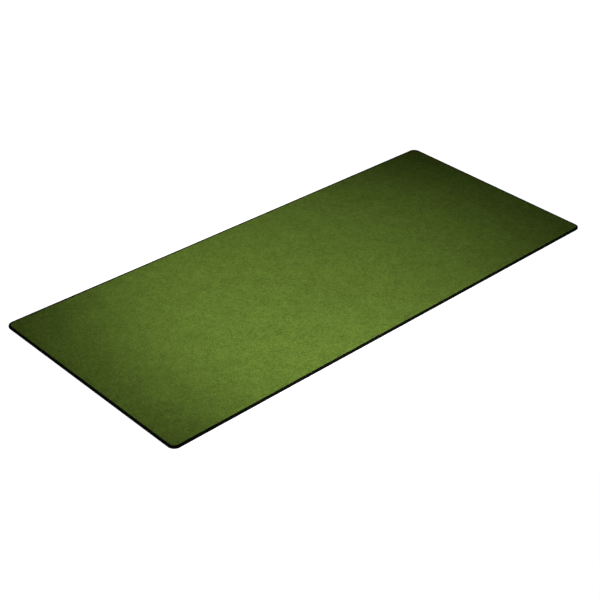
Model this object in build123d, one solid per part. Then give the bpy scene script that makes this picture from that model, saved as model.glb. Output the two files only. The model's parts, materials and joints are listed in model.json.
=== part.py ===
"""Thin golf hitting mat: short green pile on a foam rubber pad, with an overlocked edge.

The mat is a bonded stack of flexible sheets. Three threads of an overlock seam
wrap its whole edge. It lies flat: +Z is up, X runs along the mat and Y across it.
The origin is the centre of the underside, on the floor. All sizes are in millimetres.
"""

import os

from build123d import *

# Driving dimensions of the finished mat
LENGTH = 1200.0
WIDTH = 500.0
THICKNESS = 5.0
CORNER_RADIUS = 15.0

# Thickness of each sheet, from the floor up; the pile takes what is left
GRIP_THICKNESS = 1.0
BOND_THICKNESS = 0.1
FOAM_THICKNESS = 2.2
GROUND_THICKNESS = 0.5

# Overlock seam: how far it reaches in from the edge, and how thick its threads lie
SEAM_WIDTH = 4.5
THREAD_LAY = 0.5
NEEDLE_LINE_WIDTH = 0.5
SEAM_EDGE_RADIUS = 1.5

# Levels that follow from the sizes above
GRIP_TOP = GRIP_THICKNESS
LOWER_BOND_TOP = GRIP_TOP + BOND_THICKNESS
FOAM_TOP = LOWER_BOND_TOP + FOAM_THICKNESS
UPPER_BOND_TOP = FOAM_TOP + BOND_THICKNESS
GROUND_TOP = UPPER_BOND_TOP + GROUND_THICKNESS
SEAM_FLOOR = THREAD_LAY
SEAM_ROOF = THICKNESS - THREAD_LAY
PURL_LEVEL = THICKNESS / 2


def slab(inset, bottom, top):
    """A flat slab whose outline lies a given distance inside the mat's outline."""
    outline = RectangleRounded(
        LENGTH - 2 * inset, WIDTH - 2 * inset, CORNER_RADIUS - inset
    )
    return Pos(0, 0, bottom) * extrude(outline, top - bottom)


def cut_sheet(bottom, top):
    """A sheet of the stack, cut back all round by the threads that wrap its edge."""
    return slab(THREAD_LAY, bottom, top)


def grip_base():
    """Rubber sheet on the floor, pressed thinner under the seam."""
    field = slab(SEAM_WIDTH, 0, SEAM_FLOOR)
    return field + cut_sheet(SEAM_FLOOR, GRIP_TOP)


def pile():
    """Standing pile, pressed down to a thin lip under the seam."""
    field = slab(SEAM_WIDTH, SEAM_ROOF, THICKNESS)
    return cut_sheet(GROUND_TOP, SEAM_ROOF) + field


def seam_envelope():
    """The whole edge as the seam wraps it, with rounded rims top and bottom."""
    block = slab(0, 0, THICKNESS)
    rims = block.faces().sort_by(Axis.Z)[0].edges()
    rims += block.faces().sort_by(Axis.Z)[-1].edges()
    return fillet(rims, SEAM_EDGE_RADIUS)


def upper_looper_thread():
    """Thread that covers the top of the edge, from the needle line to the purl."""
    inner_reach = SEAM_WIDTH - NEEDLE_LINE_WIDTH
    wrap = seam_envelope() - slab(inner_reach, SEAM_ROOF, THICKNESS)
    wrap -= cut_sheet(0, SEAM_ROOF)
    return wrap & slab(0, PURL_LEVEL, THICKNESS)


def lower_looper_thread():
    """Thread that covers the underside of the edge, from the purl inwards."""
    wrap = seam_envelope() - slab(SEAM_WIDTH, 0, SEAM_FLOOR)
    wrap -= cut_sheet(SEAM_FLOOR, THICKNESS)
    return wrap & slab(0, 0, PURL_LEVEL)


def needle_thread():
    """Row of straight stitches along the inner border of the seam."""
    outer_reach = SEAM_WIDTH - NEEDLE_LINE_WIDTH
    row = slab(outer_reach, SEAM_ROOF, THICKNESS)
    return row - slab(SEAM_WIDTH, SEAM_ROOF, THICKNESS)


NODES = {
    "grip_base": grip_base(),
    "lower_bond_film": cut_sheet(GRIP_TOP, LOWER_BOND_TOP),
    "foam_pad": cut_sheet(LOWER_BOND_TOP, FOAM_TOP),
    "upper_bond_film": cut_sheet(FOAM_TOP, UPPER_BOND_TOP),
    "pile_ground_cloth": cut_sheet(UPPER_BOND_TOP, GROUND_TOP),
    "pile": pile(),
    "upper_looper_thread": upper_looper_thread(),
    "lower_looper_thread": lower_looper_thread(),
    "needle_thread": needle_thread(),
}

os.makedirs("parts", exist_ok=True)
for name, shape in NODES.items():
    export_step(shape, f"parts/{name}.step")
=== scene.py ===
"""Thin golf hitting mat: the looks of its pile, its overlocked edge and its moulded grip underside.

The mat lies flat on the floor, +Z up, its long side along X. Everything is in metres.
"""

import json
import math

import bmesh
import bpy
import numpy as np
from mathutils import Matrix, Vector

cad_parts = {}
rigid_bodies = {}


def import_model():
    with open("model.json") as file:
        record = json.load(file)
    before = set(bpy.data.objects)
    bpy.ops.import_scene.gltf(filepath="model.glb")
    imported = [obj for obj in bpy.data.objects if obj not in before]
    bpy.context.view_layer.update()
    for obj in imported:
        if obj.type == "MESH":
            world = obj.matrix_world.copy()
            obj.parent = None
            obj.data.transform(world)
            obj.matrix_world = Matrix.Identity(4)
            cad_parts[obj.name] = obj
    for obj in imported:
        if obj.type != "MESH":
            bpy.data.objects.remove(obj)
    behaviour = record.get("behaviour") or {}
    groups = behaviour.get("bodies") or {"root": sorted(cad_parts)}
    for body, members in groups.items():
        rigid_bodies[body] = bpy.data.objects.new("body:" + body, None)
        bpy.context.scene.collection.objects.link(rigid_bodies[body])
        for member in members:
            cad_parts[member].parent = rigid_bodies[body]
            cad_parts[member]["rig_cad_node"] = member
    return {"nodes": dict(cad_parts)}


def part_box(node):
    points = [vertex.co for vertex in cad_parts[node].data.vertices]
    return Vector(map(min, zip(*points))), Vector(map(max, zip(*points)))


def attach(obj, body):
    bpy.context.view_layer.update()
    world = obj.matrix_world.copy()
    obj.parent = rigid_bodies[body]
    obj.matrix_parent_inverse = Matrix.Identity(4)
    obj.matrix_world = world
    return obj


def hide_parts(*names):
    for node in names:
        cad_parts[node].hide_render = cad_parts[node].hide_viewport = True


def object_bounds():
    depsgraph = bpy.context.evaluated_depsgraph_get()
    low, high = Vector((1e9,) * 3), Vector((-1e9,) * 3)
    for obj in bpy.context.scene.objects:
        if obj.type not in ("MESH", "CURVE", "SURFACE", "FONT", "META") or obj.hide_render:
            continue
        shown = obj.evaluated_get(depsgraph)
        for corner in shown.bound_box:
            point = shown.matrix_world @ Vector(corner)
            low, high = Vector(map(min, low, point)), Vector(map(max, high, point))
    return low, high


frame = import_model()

MM = 0.001
LOW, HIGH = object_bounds()

# Edge of the mat, as it is sewn
CORNER_RADIUS = 15.0 * MM
SEAM_WIDTH = 4.5 * MM
THREAD_LAY = 0.5 * MM
RIM_RADIUS = 1.5 * MM
PURL_LEVEL = (LOW.z + HIGH.z) / 2
ARC_CENTRE = np.array([HIGH.x - CORNER_RADIUS, HIGH.y - CORNER_RADIUS])
ARC_STEPS = 16
SEAM_ARC_STEPS = 64

# The seam, measured over the rim from its inner border to the purl on the mat's side
RIM_START = SEAM_WIDTH - RIM_RADIUS
RIM_END = RIM_START + RIM_RADIUS * math.pi / 2
PURL_REACH = RIM_END + HIGH.z - RIM_RADIUS - PURL_LEVEL

# Twelve to thirteen stitches to the inch, in a lofty thread that lies flat
STITCH_PITCH = 2.0 * MM
LOOPER_WIDTH = 0.96 * MM
LOOPER_HEIGHT = 0.30 * MM
LOOPER_LOFT = 0.2 * MM
LOOPER_TURN = 0.45 * MM
PURL_OVERLAP = 0.15 * MM
NEEDLE_REACH = 0.25 * MM
NEEDLE_THREAD_RADIUS = 0.2 * MM
NEEDLE_DIVE = 0.35 * MM
SEAM_BED_DEPTH = 0.2 * MM
SEAM_BED_STEP = 4.0 * MM

# Pile: real tufts stand under 1 mm apart, so the grid carries their clumps and its shading the rest
PILE_GRID = 2.55 * MM
TUFT_CLUMP = 5.0 * MM
TUFT_RELIEF = 0.45 * MM
PILE_LAY_WAVE = 40.0 * MM
PILE_LAY_RELIEF = 0.2 * MM
PILE_PRESSED = 0.2 * MM
PILE_PRESSED_REACH = 6.0 * MM
BORDER = 0.05 * MM
LIP_CHAMFER = 0.4 * MM

# Tufts on the border of the pile, which lean out over the needle stitches
FRINGE_STRETCH = 30.0 * MM
FRINGE_PITCH = 0.85 * MM
FRINGE_RADIUS = 0.28 * MM
FRINGE_ROOT = 0.5 * MM
FRINGE_RISE = 0.4 * MM
FRINGE_LEAN = 0.7 * MM
FRINGE_UNEVEN = 0.3 * MM
FRINGE_SEED = 5

# Grip pattern moulded into the underside: blunt pyramids with grooves between them
GRIP_PITCH = 6.0 * MM
GRIP_SLOPE = 1.3 * MM
GRIP_DEPTH = 0.35 * MM
GRIP_MARGIN = 3.5 * MM

# Vertices closer than this are one, and the ends of a ring meet within its gap
WELD = 0.001 * MM
RING_GAP = 0.1 * MM


# ---------------------------------------------------------------- modelling helpers


def take(*objects):
    """Select only these objects and make the first one active."""
    bpy.ops.object.select_all(action="DESELECT")
    for obj in objects:
        obj.select_set(True)
    bpy.context.view_layer.objects.active = objects[0]


def edit(obj, select="SELECT"):
    """Enter edit mode with everything or nothing selected."""
    take(obj)
    bpy.ops.object.mode_set(mode="EDIT")
    bpy.ops.mesh.select_mode(type="VERT")
    bpy.ops.mesh.select_all(action=select)


def leave_edit():
    bpy.ops.object.mode_set(mode="OBJECT")


def select_in_edit(obj, kind, test):
    """In edit mode, select the faces or edges that pass a test."""
    bpy.ops.mesh.select_mode(type=kind)
    mesh = bmesh.from_edit_mesh(obj.data)
    for part in mesh.faces if kind == "FACE" else mesh.edges:
        part.select = test(part)
    bmesh.update_edit_mesh(obj.data)


def named(name):
    """Name the primitive that was just added, or the result of a join."""
    obj = bpy.context.object
    obj.name = name
    obj.data.name = name
    return obj


def settle(obj):
    """Put the object's place, turn and scale into its mesh."""
    take(obj)
    bpy.ops.object.transform_apply(location=True, rotation=True, scale=True)


def apply_modifiers(obj):
    """Apply every modifier of the object, in order."""
    take(obj)
    for name in [modifier.name for modifier in obj.modifiers]:
        bpy.ops.object.modifier_apply(modifier=name)


def coordinates(obj):
    """The vertices of a mesh as an array of places."""
    flat = np.empty(len(obj.data.vertices) * 3)
    obj.data.vertices.foreach_get("co", flat)
    return flat.reshape(-1, 3)


def set_coordinates(obj, places):
    """Move the vertices of a mesh to an array of places."""
    obj.data.vertices.foreach_set("co", np.asarray(places, float).ravel())
    obj.data.update()


def join(name, *parts):
    """Make one piece of several objects."""
    take(*parts)
    bpy.ops.object.join()
    return named(name)


def weld(obj):
    """Merge vertices that lie on each other and turn the faces outwards."""
    edit(obj)
    bpy.ops.mesh.remove_doubles(threshold=WELD)
    bpy.ops.mesh.normals_make_consistent(inside=False)
    leave_edit()


# ---------------------------------------------------------------- the mat's outline


def rounded_outline(inset, level, arc_steps):
    """One flat face with arcs at its corners: the mat's outline, a given distance further in."""
    bpy.ops.mesh.primitive_plane_add(size=1)
    obj = named("outline")
    obj.scale = (HIGH.x - LOW.x - 2 * inset, HIGH.y - LOW.y - 2 * inset, 1)
    obj.location.z = level
    settle(obj)
    edit(obj)
    bpy.ops.mesh.bevel(
        offset=CORNER_RADIUS - inset, offset_type="OFFSET", segments=arc_steps, affect="VERTICES"
    )
    leave_edit()
    return obj


def edge_line():
    """A closed curve round the mat's outline, for the seam to follow."""
    obj = rounded_outline(0, 0, SEAM_ARC_STEPS)
    edit(obj)
    bpy.ops.mesh.delete(type="ONLY_FACE")
    leave_edit()
    bpy.ops.object.convert(target="CURVE")
    return bpy.context.object


def line_length(line):
    """Length of a closed curve of straight runs."""
    places = [Vector(point.co[:3]) for point in line.data.splines[0].points]
    return sum((place - places[index - 1]).length for index, place in enumerate(places))


def whole_step(length, pitch):
    """The step nearest to a pitch that goes a whole number of times into a length."""
    return length / round(length / pitch)


def repeat_along(unit, step, line, length):
    """Repeat one unit round the closed line, and weld its copies into one ring."""
    array = unit.modifiers.new("repeat", "ARRAY")
    array.count = round(length / step)
    array.use_relative_offset = False
    array.use_constant_offset = True
    array.constant_offset_displace = (step, 0, 0)
    array.use_merge_vertices = True
    array.merge_threshold = WELD
    bend = unit.modifiers.new("follow", "CURVE")
    bend.object = line
    bend.deform_axis = "POS_X"
    apply_modifiers(unit)
    edit(unit, "DESELECT")
    bpy.ops.mesh.select_non_manifold()
    bpy.ops.mesh.remove_doubles(threshold=RING_GAP)
    leave_edit()


def field_distance(places):
    """How far each place lies inside the field, the area within the seam."""
    radius = CORNER_RADIUS - SEAM_WIDTH
    beyond = np.abs(places[:, :2]) - ARC_CENTRE
    outside = np.linalg.norm(np.maximum(beyond, 0), axis=1)
    inside = np.minimum(beyond.max(axis=1), 0)
    return radius - outside - inside


def outwards(places):
    """The level direction out of the field at each place on its border."""
    reach = np.maximum(np.abs(places[:, :2]) - ARC_CENTRE, 0)
    return np.sign(places[:, :2]) * reach / np.linalg.norm(reach, axis=1)[:, None]


def extrude_border(obj, distance, level):
    """Extrude the open border of a sheet outwards by a distance and to a level."""
    edit(obj)
    bpy.ops.mesh.region_to_loop()
    bpy.ops.mesh.extrude_region_move()
    leave_edit()
    places = coordinates(obj)
    border = np.array([vertex.select for vertex in obj.data.vertices])
    places[border, :2] += outwards(places[border]) * distance
    places[border, 2] = level
    set_coordinates(obj, places)


def add_lip(obj, lip_level, back_level):
    """Step a face down to the lip that the seam's threads hold, then give it an edge and a back."""
    fall = math.copysign(LIP_CHAMFER, back_level - lip_level)
    extrude_border(obj, BORDER, lip_level)
    extrude_border(obj, SEAM_WIDTH - THREAD_LAY - LIP_CHAMFER - BORDER, lip_level)
    extrude_border(obj, LIP_CHAMFER, lip_level + fall)
    extrude_border(obj, 0, back_level)
    edit(obj)
    bpy.ops.mesh.region_to_loop()
    bpy.ops.mesh.edge_face_add()
    leave_edit()


# ---------------------------------------------------------------- pile


def round_corners(obj):
    """Press a grid's square corners in until they follow an arc, with no face lost."""
    places = coordinates(obj)
    beyond = np.abs(places[:, :2]) - ARC_CENTRE
    corner = (beyond > 0).all(axis=1)
    reach = beyond[corner]
    reach *= (reach.max(axis=1) / np.linalg.norm(reach, axis=1))[:, None]
    places[corner, :2] = np.sign(places[corner, :2]) * (ARC_CENTRE + reach)
    set_coordinates(obj, places)


def relief(obj, name, size, depth):
    """Raise and lower the standing pile by a cloudy pattern of the given size."""
    texture = bpy.data.textures.new(name, "CLOUDS")
    texture.noise_scale = size
    texture.noise_depth = 1
    modifier = obj.modifiers.new(name, "DISPLACE")
    modifier.texture = texture
    modifier.texture_coords = "LOCAL"
    modifier.direction = "Z"
    modifier.mid_level = 0.5
    modifier.strength = depth
    modifier.vertex_group = "standing"


def pile_piece():
    """Cut pile: a fine grid raised into tufts, pressed down along the seam, with a lip under it."""
    low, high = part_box("pile")
    half_x, half_y = HIGH.x - SEAM_WIDTH, HIGH.y - SEAM_WIDTH
    bpy.ops.mesh.primitive_grid_add(
        x_subdivisions=round(2 * half_x / PILE_GRID),
        y_subdivisions=round(2 * half_y / PILE_GRID),
        size=1,
        location=(0, 0, high.z),
    )
    obj = named("pile_cloth")
    obj.scale = (2 * half_x, 2 * half_y, 1)
    settle(obj)
    round_corners(obj)
    add_lip(obj, high.z - THREAD_LAY, low.z)

    places = coordinates(obj)
    inside = field_distance(places)
    rise = np.clip(inside / PILE_PRESSED_REACH, 0, 1)
    rise = rise * rise * (3 - 2 * rise)
    field = (places[:, 2] > high.z - BORDER) & (inside > -BORDER / 2)
    places[field, 2] -= PILE_PRESSED * (1 - rise[field])
    set_coordinates(obj, places)
    standing = obj.vertex_groups.new(name="standing")
    for index in np.flatnonzero(field):
        standing.add([int(index)], float(rise[index]), "REPLACE")
    relief(obj, "tuft_clumps", TUFT_CLUMP, TUFT_RELIEF)
    relief(obj, "pile_lay", PILE_LAY_WAVE, PILE_LAY_RELIEF)
    apply_modifiers(obj)
    obj.vertex_groups.clear()
    bpy.ops.object.shade_smooth_by_angle(angle=math.radians(50))
    return obj


def tuft(place, lean):
    """One tuft at a place in the pile: it stands up, then leans over and narrows to its tip."""
    bpy.ops.mesh.primitive_cylinder_add(
        vertices=5, radius=FRINGE_RADIUS, depth=FRINGE_ROOT, location=place
    )
    obj = named("tuft")
    settle(obj)
    edit(obj, "DESELECT")
    select_in_edit(obj, "FACE", lambda face: face.normal.z > 0.9)
    tip = place + Vector((0, 0, FRINGE_ROOT / 2))
    rise = Vector((0, 0, FRINGE_RISE))
    for move, width in ((lean * 0.3 + rise, 0.85), (lean * 0.7, 0.3)):
        tip += move
        bpy.ops.mesh.extrude_region_move(TRANSFORM_OT_translate={"value": move})
        bpy.ops.transform.resize(value=(width, width, 1), center_override=tip)
    leave_edit()
    return obj


def fringe_piece(line):
    """The outermost row of tufts, all round the pile: no two beside each other lean alike."""
    draw = np.random.default_rng(FRINGE_SEED)
    length = line_length(line)
    step = whole_step(length, FRINGE_STRETCH)
    tufts = []
    for along in np.linspace(0, step, round(step / FRINGE_PITCH), endpoint=False):
        aside, out, up = draw.normal(0, FRINGE_UNEVEN, 3)
        root = Vector((along, SEAM_WIDTH + FRINGE_RADIUS, HIGH.z - FRINGE_ROOT))
        lean = Vector((aside, -FRINGE_LEAN - out, up / 3))
        tufts.append(tuft(root, lean))
    obj = join("pile_fringe", *tufts)
    repeat_along(obj, step, line, length)
    bpy.ops.object.shade_smooth_by_angle(angle=math.radians(60))
    return obj


# ---------------------------------------------------------------- grip underside


def grip_piece():
    """Rubber sheet: rows of blunt pyramids on its underside, and a thinner lip under the seam."""
    low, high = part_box("grip_base")
    groove_level = low.z + GRIP_DEPTH
    size_x = 2 * (HIGH.x - SEAM_WIDTH - GRIP_MARGIN)
    size_y = 2 * (HIGH.y - SEAM_WIDTH - GRIP_MARGIN)
    bpy.ops.mesh.primitive_grid_add(
        x_subdivisions=round(size_x / GRIP_PITCH),
        y_subdivisions=round(size_y / GRIP_PITCH),
        size=1,
        location=(0, 0, groove_level),
        rotation=(math.pi, 0, 0),
    )
    pads = named("grip_pads")
    pads.scale = (size_x, size_y, 1)
    settle(pads)
    edit(pads)
    bpy.ops.mesh.inset(thickness=GRIP_SLOPE, depth=GRIP_DEPTH, use_individual=True)
    leave_edit()

    # The sheet round them is opened on its face, and a flat margin joins it to the rows
    plate = rounded_outline(SEAM_WIDTH, groove_level, ARC_STEPS)
    add_lip(plate, low.z + THREAD_LAY, high.z)
    edit(plate, "DESELECT")
    select_in_edit(
        plate,
        "FACE",
        lambda face: len(face.verts) > 4 and face.calc_center_median().z < high.z - BORDER,
    )
    bpy.ops.mesh.delete(type="ONLY_FACE")
    leave_edit()
    obj = join("grip_base_moulded", plate, pads)
    edit(obj, "DESELECT")
    select_in_edit(obj, "EDGE", lambda edge: edge.is_boundary)
    bpy.ops.mesh.fill()
    leave_edit()
    weld(obj)
    bpy.ops.object.shade_smooth_by_angle(angle=math.radians(20))
    return obj


# ---------------------------------------------------------------- overlock seam


def over_rim(places, top):
    """Lay flat strips over the mat's edge, on the top half or the bottom half.

    A place is (along, reach, height): reach is measured from the seam's inner border over the
    rim, and height is out of the mat's surface."""
    along, reach, height = np.asarray(places, float).T
    turn = np.clip((reach - RIM_START) / RIM_RADIUS, 0, math.pi / 2)
    inward = SEAM_WIDTH - np.minimum(reach, RIM_START) - (RIM_RADIUS + height) * np.sin(turn)
    drop = np.maximum(reach - RIM_END, 0)
    level = HIGH.z - RIM_RADIUS + (RIM_RADIUS + height) * np.cos(turn) - drop
    if not top:
        level = LOW.z + HIGH.z - level
    return np.stack([along, inward, level], axis=1)


def roll(name, rings, top):
    """A tube through rings of places: a grid, one row per ring, rolled until its sides meet."""
    sides = len(rings[0])
    bpy.ops.mesh.primitive_grid_add(x_subdivisions=sides, y_subdivisions=len(rings) - 1, size=1)
    obj = named(name)
    closed = [place for ring in rings for place in [*ring, ring[0]]]
    set_coordinates(obj, over_rim(closed, top))
    weld(obj)
    return obj


def thread_rings(path, section, before, after):
    """Rings of a thread's section along a path of (along, reach, height) places."""
    rings = []
    line = [Vector(place) for place in [before, *path, after]]
    for last, place, following in zip(line, line[1:], line[2:]):
        heading = (following - last).to_2d().normalized()
        across = Vector((heading.y, -heading.x, 0))
        rings.append([place + across * aside + Vector((0, 0, rise)) for aside, rise in section])
    return rings


def looper_unit(name, step, top):
    """One stitch of a looper thread: from the needle line over the rim, round the purl and back.

    It lies flattened, as wide as half a stitch, so that its runs cover the edge side by side."""
    half = LOOPER_WIDTH / 2
    section = [(-half, -LOOPER_HEIGHT), (half, -LOOPER_HEIGHT), (half / 2, 0), (-half / 2, 0)]
    inner, outer = NEEDLE_REACH, PURL_REACH + PURL_OVERLAP
    sunk = -LOOPER_HEIGHT / 2
    run = [inner + LOOPER_TURN, RIM_START, (RIM_START + RIM_END) / 2, RIM_END, outer - LOOPER_TURN]
    first, last = (inner, outer) if top else (outer, inner)
    out = run if top else run[::-1]
    # The weight of the mat presses the thread flat where it is under the edge
    loft = {reach: LOOPER_LOFT if top or reach > RIM_START else 0 for reach in out}
    path = [(0, first, sunk)]
    path += [(0.25 * step, reach, loft[reach]) for reach in out]
    path += [(0.5 * step, last, sunk)]
    path += [(0.75 * step, reach, loft[reach]) for reach in out[::-1]]
    path += [(step, first, sunk)]
    before = (-0.25 * step, out[0], 0)
    after = (1.25 * step, out[0], 0)
    return roll(name, thread_rings(path, section, before, after), top)


def seam_bed_unit(name, step, top):
    """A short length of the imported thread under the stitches, a closed strip over the rim."""
    inner = NEEDLE_REACH * 2 if top else 0
    shell = [inner, RIM_START, *np.linspace(RIM_START, RIM_END, 4)[1:], PURL_REACH]
    ring = [(reach, -SEAM_BED_DEPTH) for reach in shell]
    ring += [(reach, BORDER - THREAD_LAY) for reach in (PURL_REACH, RIM_END, RIM_START, inner)]
    rings = [[(along, reach, height) for reach, height in ring] for along in (0, step)]
    return roll(name, rings, top)


def looper_piece(name, line, top):
    """A looper thread all round the mat, lying on the bed of its own packed turns."""
    length = line_length(line)
    step = whole_step(length, STITCH_PITCH)
    stitches = looper_unit(name, step, top)
    repeat_along(stitches, step, line, length)
    bed_step = whole_step(length, SEAM_BED_STEP)
    bed = seam_bed_unit("seam_bed", bed_step, top)
    repeat_along(bed, bed_step, line, length)
    obj = join(name, stitches, bed)
    bpy.ops.object.shade_smooth_by_angle(angle=math.radians(60))
    return obj


def needle_unit(name, stretch, top):
    """One needle stitch: a thread that comes up, lies along the seam and dives again."""
    start, end = stretch
    middle = (start + end) / 2
    round_off = (end - start) / 8
    radius = NEEDLE_THREAD_RADIUS
    section = [
        (radius * math.cos(turn), radius * math.sin(turn) - radius)
        for turn in np.linspace(0, 2 * math.pi, 6, endpoint=False)
    ]
    path = [
        (start, NEEDLE_REACH, -NEEDLE_DIVE),
        (start + round_off, NEEDLE_REACH, -NEEDLE_DIVE / 6),
        (middle, NEEDLE_REACH, 0),
        (end - round_off, NEEDLE_REACH, -NEEDLE_DIVE / 6),
        (end, NEEDLE_REACH, -NEEDLE_DIVE),
    ]
    before = (start - round_off, NEEDLE_REACH, 0)
    after = (end + round_off, NEEDLE_REACH, 0)
    obj = roll(name, thread_rings(path, section, before, after), top)
    edit(obj)
    bpy.ops.mesh.fill_holes(sides=len(section))
    bpy.ops.mesh.normals_make_consistent(inside=False)
    leave_edit()
    return obj


def needle_piece(line):
    """The needle thread: straight stitches on top, and the loops that they pull up underneath."""
    length = line_length(line)
    step = whole_step(length, STITCH_PITCH)
    stitches = needle_unit("needle_stitches", (0.04 * step, 0.96 * step), True)
    repeat_along(stitches, step, line, length)
    loops = needle_unit("needle_loops", (0.3 * step, 0.7 * step), False)
    repeat_along(loops, step, line, length)
    obj = join("needle_stitches", stitches, loops)
    bpy.ops.object.shade_smooth_by_angle(angle=math.radians(60))
    return obj


# ---------------------------------------------------------------- materials


def linear(code):
    """The linear colour of an sRGB hex value, with full alpha."""
    values = [int(code[place:place + 2], 16) / 255 for place in (1, 3, 5)]
    low = [value / 12.92 for value in values]
    high = [((value + 0.055) / 1.055) ** 2.4 for value in values]
    return [low[i] if values[i] <= 0.04045 else high[i] for i in range(3)] + [1.0]


def add_node(owner, kind, inputs=None, stops=(), **settings):
    """Add a node to a material or world: its settings, its inputs and any colour stops.

    An input is a constant, or another node's output to link from."""
    node = owner.node_tree.nodes.new(kind)
    for name, value in settings.items():
        setattr(node, name, value)
    for name, value in (inputs or {}).items():
        if isinstance(value, bpy.types.NodeSocket):
            owner.node_tree.links.new(value, node.inputs[name])
        else:
            node.inputs[name].default_value = value
    for index, (position, code) in enumerate(stops):
        if index == len(node.color_ramp.elements):
            node.color_ramp.elements.new(position)
        node.color_ramp.elements[index].position = position
        node.color_ramp.elements[index].color = linear(code)
    return node


def new_material(name):
    """A material with an empty node tree."""
    material = bpy.data.materials.new(name)
    material.use_nodes = True
    material.node_tree.nodes.clear()
    return material


def cut_polyester_velour():
    """Short cut pile of dyed polyester: matt, mottled lighter and darker at several sizes, with
    painted shade where tufts meet and a painted highlight at their tips.

    Clumps and tufts are drawn two to three times their real size, to show at arm's length."""
    material = new_material("cut_polyester_velour")
    place = add_node(material, "ShaderNodeTexCoord").outputs["Object"]
    grain = {}
    shade = 0.0
    for name, size, share in (
        ("lay", 45 * MM, 0.10),
        ("clumps", 10 * MM, 0.21),
        ("bunches", 4 * MM, 0.34),
        ("fibres", 0.7 * MM, 0.5),
    ):
        grain[name] = add_node(
            material,
            "ShaderNodeTexNoise",
            {"Vector": place, "Scale": 1 / size, "Detail": 1.0, "Roughness": 0.6},
        ).outputs["Fac"]
        shade = add_node(
            material,
            "ShaderNodeMath",
            {0: grain[name], 1: share, 2: shade},
            operation="MULTIPLY_ADD",
        ).outputs[0]
    # Each tuft is a cell, with a painted highlight at its middle and painted shade where it meets
    # the next
    gaps = add_node(
        material, "ShaderNodeTexVoronoi", {"Vector": place, "Scale": 1 / (1.8 * MM)}
    ).outputs["Distance"]
    shade = add_node(
        material,
        "ShaderNodeMath",
        {0: gaps, 1: -0.24, 2: shade},
        operation="MULTIPLY_ADD",
    ).outputs[0]
    colour = add_node(
        material,
        "ShaderNodeValToRGB",
        {"Fac": shade},
        stops=((0.07, "#3d5019"), (0.32, "#546a27"), (0.47, "#688231"), (0.72, "#86a344")),
    )
    height = add_node(
        material,
        "ShaderNodeMath",
        {0: grain["fibres"], 1: gaps},
        operation="SUBTRACT",
    ).outputs[0]
    relief = add_node(
        material,
        "ShaderNodeBump",
        {"Height": height, "Strength": 0.7, "Distance": 0.5 * MM},
    )
    shader = add_node(
        material,
        "ShaderNodeBsdfPrincipled",
        {
            "Base Color": colour.outputs["Color"],
            "Normal": relief.outputs["Normal"],
            "Roughness": 0.95,
            "Specular IOR Level": 0.05,
            "Sheen Weight": 0.1,
            "Sheen Roughness": 0.5,
            "Sheen Tint": linear("#8ba84a"),
        },
    )
    add_node(material, "ShaderNodeOutputMaterial", {"Surface": shader.outputs["BSDF"]})
    return material


def textured_polyester_thread():
    """Black textured filament: soft, almost without gloss, with its filaments just showing."""
    material = new_material("textured_polyester_thread")
    place = add_node(material, "ShaderNodeTexCoord").outputs["Object"]
    filaments = add_node(
        material,
        "ShaderNodeTexNoise",
        {"Vector": place, "Scale": 1 / (0.25 * MM), "Detail": 2.0, "Roughness": 0.6},
    ).outputs["Fac"]
    loft = add_node(
        material,
        "ShaderNodeTexNoise",
        {"Vector": place, "Scale": 1 / (1.6 * MM), "Detail": 2.0},
    ).outputs["Fac"]
    shade = add_node(
        material,
        "ShaderNodeMath",
        {0: filaments, 1: 0.6, 2: loft},
        operation="MULTIPLY_ADD",
    ).outputs[0]
    colour = add_node(
        material,
        "ShaderNodeValToRGB",
        {"Fac": shade},
        stops=((0.6, "#020202"), (0.85, "#080908"), (1.0, "#111211")),
    )
    relief = add_node(
        material,
        "ShaderNodeBump",
        {"Height": filaments, "Strength": 0.8, "Distance": 0.12 * MM},
    )
    shader = add_node(
        material,
        "ShaderNodeBsdfPrincipled",
        {
            "Base Color": colour.outputs["Color"],
            "Normal": relief.outputs["Normal"],
            "Roughness": 0.9,
            "Specular IOR Level": 0.08,
        },
    )
    add_node(material, "ShaderNodeOutputMaterial", {"Surface": shader.outputs["BSDF"]})
    return material


def moulded_natural_rubber():
    """Moulded rubber: near black, matt, with the mould's fine grain and pale talc in places."""
    material = new_material("moulded_natural_rubber")
    place = add_node(material, "ShaderNodeTexCoord").outputs["Object"]
    grain = add_node(
        material,
        "ShaderNodeTexNoise",
        {"Vector": place, "Scale": 1 / (0.6 * MM), "Detail": 3.0, "Roughness": 0.6},
    ).outputs["Fac"]
    talc = add_node(
        material,
        "ShaderNodeTexNoise",
        {"Vector": place, "Scale": 1 / (30 * MM), "Detail": 4.0, "Roughness": 0.6},
    ).outputs["Fac"]
    shade = add_node(
        material,
        "ShaderNodeMath",
        {0: grain, 1: 0.4, 2: talc},
        operation="MULTIPLY_ADD",
    ).outputs[0]
    colour = add_node(
        material,
        "ShaderNodeValToRGB",
        {"Fac": shade},
        stops=((0.5, "#161716"), (0.75, "#202120"), (1.0, "#323332")),
    )
    dryness = add_node(
        material, "ShaderNodeMapRange", {"Value": talc, "To Min": 0.62, "To Max": 0.85}
    )
    relief = add_node(
        material,
        "ShaderNodeBump",
        {"Height": grain, "Strength": 0.7, "Distance": 0.1 * MM},
    )
    shader = add_node(
        material,
        "ShaderNodeBsdfPrincipled",
        {
            "Base Color": colour.outputs["Color"],
            "Roughness": dryness.outputs["Result"],
            "Normal": relief.outputs["Normal"],
            "Specular IOR Level": 0.4,
            "IOR": 1.52,
        },
    )
    add_node(material, "ShaderNodeOutputMaterial", {"Surface": shader.outputs["BSDF"]})
    return material


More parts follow.
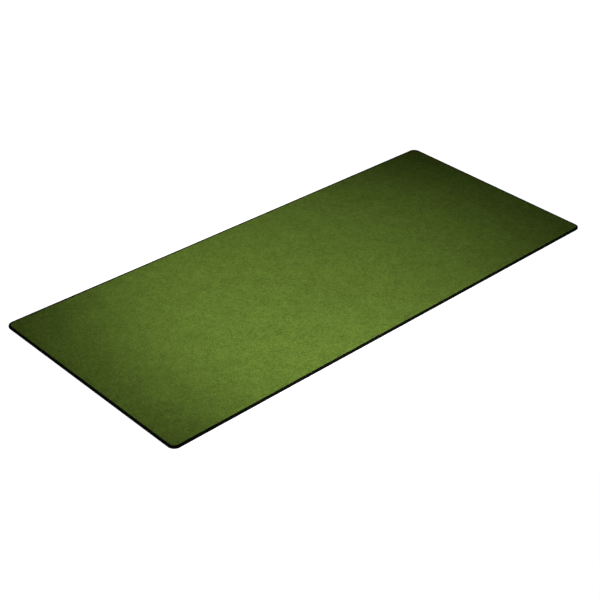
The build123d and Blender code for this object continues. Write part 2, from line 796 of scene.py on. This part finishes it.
def foamed_rubber():
    """Closed-cell foamed rubber: dark grey, with small round cells open on its cut edge and painted
    shade in each cell's hollow.
    """
    material = new_material("foamed_rubber")
    place = add_node(material, "ShaderNodeTexCoord").outputs["Object"]
    # Cells are drawn 0.8 mm wide, twice the real size, each painted darker at its middle as shade
    # in the open hollow
    cells = add_node(
        material, "ShaderNodeTexVoronoi", {"Vector": place, "Scale": 1 / (0.8 * MM)}
    ).outputs["Distance"]
    colour = add_node(
        material, "ShaderNodeValToRGB", {"Fac": cells}, stops=((0.1, "#1a1b1c"), (0.6, "#35373a"))
    )
    relief = add_node(
        material, "ShaderNodeBump", {"Height": cells, "Strength": 0.8, "Distance": 0.2 * MM}
    )
    shader = add_node(
        material,
        "ShaderNodeBsdfPrincipled",
        {
            "Base Color": colour.outputs["Color"],
            "Normal": relief.outputs["Normal"],
            "Roughness": 0.9,
        },
    )
    add_node(material, "ShaderNodeOutputMaterial", {"Surface": shader.outputs["BSDF"]})
    return material


def melted_adhesive_web():
    """Hot-melt web: cream, in strands that ran together under heat, slightly glossy."""
    material = new_material("melted_adhesive_web")
    place = add_node(material, "ShaderNodeTexCoord").outputs["Object"]
    strands = add_node(
        material,
        "ShaderNodeTexNoise",
        {"Vector": place, "Scale": 1 / (3 * MM), "Detail": 4.0, "Roughness": 0.7},
    ).outputs["Fac"]
    colour = add_node(
        material,
        "ShaderNodeValToRGB",
        {"Fac": strands},
        stops=((0.35, "#a39c86"), (0.65, "#cfc9b6")),
    )
    relief = add_node(
        material, "ShaderNodeBump", {"Height": strands, "Strength": 0.5, "Distance": 0.05 * MM}
    )
    shader = add_node(
        material,
        "ShaderNodeBsdfPrincipled",
        {
            "Base Color": colour.outputs["Color"],
            "Normal": relief.outputs["Normal"],
            "Roughness": 0.5,
            "IOR": 1.5,
        },
    )
    add_node(material, "ShaderNodeOutputMaterial", {"Surface": shader.outputs["BSDF"]})
    return material


def knitted_ground():
    """Warp-knitted ground cloth: wales a millimetre apart, in the pile's own dye, darker."""
    material = new_material("knitted_ground")
    place = add_node(material, "ShaderNodeTexCoord").outputs["Object"]
    # The wave has one band in about 6.3 units of its scale's inverse
    wales = add_node(
        material,
        "ShaderNodeTexWave",
        {
            "Vector": place,
            "Scale": 1 / (6.3 * MM),
            "Distortion": 1.5,
            "Detail": 2.0,
            "Detail Scale": 3.0,
        },
        bands_direction="Y",
    ).outputs["Fac"]
    colour = add_node(
        material, "ShaderNodeValToRGB", {"Fac": wales}, stops=((0.2, "#34441a"), (0.8, "#4f6527"))
    )
    relief = add_node(
        material, "ShaderNodeBump", {"Height": wales, "Strength": 0.8, "Distance": 0.15 * MM}
    )
    shader = add_node(
        material,
        "ShaderNodeBsdfPrincipled",
        {
            "Base Color": colour.outputs["Color"],
            "Normal": relief.outputs["Normal"],
            "Roughness": 0.95,
        },
    )
    add_node(material, "ShaderNodeOutputMaterial", {"Surface": shader.outputs["BSDF"]})
    return material


# ---------------------------------------------------------------- pieces and their finishes


def dress(obj, material):
    """Give a piece its finish and the body that carries it."""
    obj.data.materials.clear()
    obj.data.materials.append(material)
    if "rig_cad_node" not in obj:
        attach(obj, "root")


def build_mat():
    """Every piece of the mat, and the finishes of the sheets and the pad."""
    line = edge_line()
    thread = textured_polyester_thread()
    film = melted_adhesive_web()
    velour = cut_polyester_velour()
    nodes = frame["nodes"]

    pile = pile_piece()
    dress(pile, velour)
    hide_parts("pile")
    fringe = fringe_piece(line)
    dress(fringe, velour)
    grip = grip_piece()
    dress(grip, moulded_natural_rubber())
    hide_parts("grip_base")
    for top, name, node in (
        (True, "upper_looper_stitches", "upper_looper_thread"),
        (False, "lower_looper_stitches", "lower_looper_thread"),
    ):
        looper = looper_piece(name, line, top)
        dress(looper, thread)
        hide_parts(node)
    needle = needle_piece(line)
    dress(needle, thread)
    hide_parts("needle_thread")
    bpy.data.objects.remove(line)

    dress(nodes["foam_pad"], foamed_rubber())
    dress(nodes["lower_bond_film"], film)
    dress(nodes["upper_bond_film"], film)
    dress(nodes["pile_ground_cloth"], knitted_ground())


# ---------------------------------------------------------------- stage, lights and camera


def white_seamless_paper():
    """Paper roll backdrop: white, matt, lit evenly from all round, with a faint tooth."""
    material = new_material("white_seamless_paper")
    place = add_node(material, "ShaderNodeTexCoord").outputs["Object"]
    tooth = add_node(
        material, "ShaderNodeTexNoise", {"Vector": place, "Scale": 1 / (2 * MM), "Detail": 2.0}
    ).outputs["Fac"]
    colour = add_node(
        material, "ShaderNodeValToRGB", {"Fac": tooth}, stops=((0.0, "#f4f4f3"), (1.0, "#fbfbfa"))
    )
    shader = add_node(
        material,
        "ShaderNodeBsdfPrincipled",
        {
            "Base Color": colour.outputs["Color"],
            "Roughness": 1.0,
            "Emission Color": (1, 1, 1, 1),
            "Emission Strength": 1.0,
        },
    )
    add_node(material, "ShaderNodeOutputMaterial", {"Surface": shader.outputs["BSDF"]})
    return material


def studio_floor():
    """A plain white floor, large enough to fill every view, that hardly takes a shadow."""
    bpy.ops.mesh.primitive_plane_add(size=80)
    floor = named("studio_floor")
    floor.data.materials.append(white_seamless_paper())


def studio_world():
    """White all round for the eye, and only a little fill light from it."""
    world = bpy.data.worlds.new("studio")
    bpy.context.scene.world = world
    world.use_nodes = True
    world.node_tree.nodes.clear()
    seen = add_node(world, "ShaderNodeLightPath").outputs["Is Camera Ray"]
    white = (1, 1, 1, 1)
    fill = add_node(world, "ShaderNodeBackground", {"Color": white, "Strength": 0.01})
    backdrop = add_node(world, "ShaderNodeBackground", {"Color": white, "Strength": 1.0})
    both = add_node(
        world,
        "ShaderNodeMixShader",
        {"Fac": seen, 1: fill.outputs["Background"], 2: backdrop.outputs["Background"]},
    )
    add_node(world, "ShaderNodeOutputWorld", {"Surface": both.outputs["Shader"]})


def aimed(obj, place, target):
    """Place a light so that it points at a target."""
    obj.location = place
    obj.rotation_euler = (Vector(target) - Vector(place)).to_track_quat("-Z", "Y").to_euler()
    bpy.context.scene.collection.objects.link(obj)


def studio_lamps():
    """A soft key lamp from above, and a low lamp from the near side that lifts the near corner.

    Both fade towards the mat's far end."""
    for name, energy, cone, blend, place, target in (
        ("key", 69.6, 2 * 0.313, 0.975, (-0.828, 0.16, 1.587), (-0.046, 0.023, 0)),
        ("low", 15.8, 2 * 1.327, 0.674, (-0.408, -0.639, 0.5), (1.348, 2.5, 0)),
    ):
        lamp = bpy.data.lights.new(name, "SPOT")
        lamp.energy = energy
        lamp.spot_size = cone
        lamp.spot_blend = blend
        lamp.shadow_soft_size = 0.12
        aimed(bpy.data.objects.new(name, lamp), place, target)


def studio_camera():
    """A long lens above the mat's near corner, rolled by a touch."""
    data = bpy.data.cameras.new("camera")
    data.lens = 79.74
    data.clip_end = 200
    camera = bpy.data.objects.new("camera", data)
    aimed(camera, (-1.7441, -1.6061, 1.4677), (-0.0976, -0.0514, 0))
    camera.rotation_euler.rotate_axis("Z", math.radians(3.57))
    bpy.context.scene.camera = camera


build_mat()
studio_floor()
studio_world()
studio_lamps()
studio_camera()
bpy.context.scene.view_settings.view_transform = "Standard"
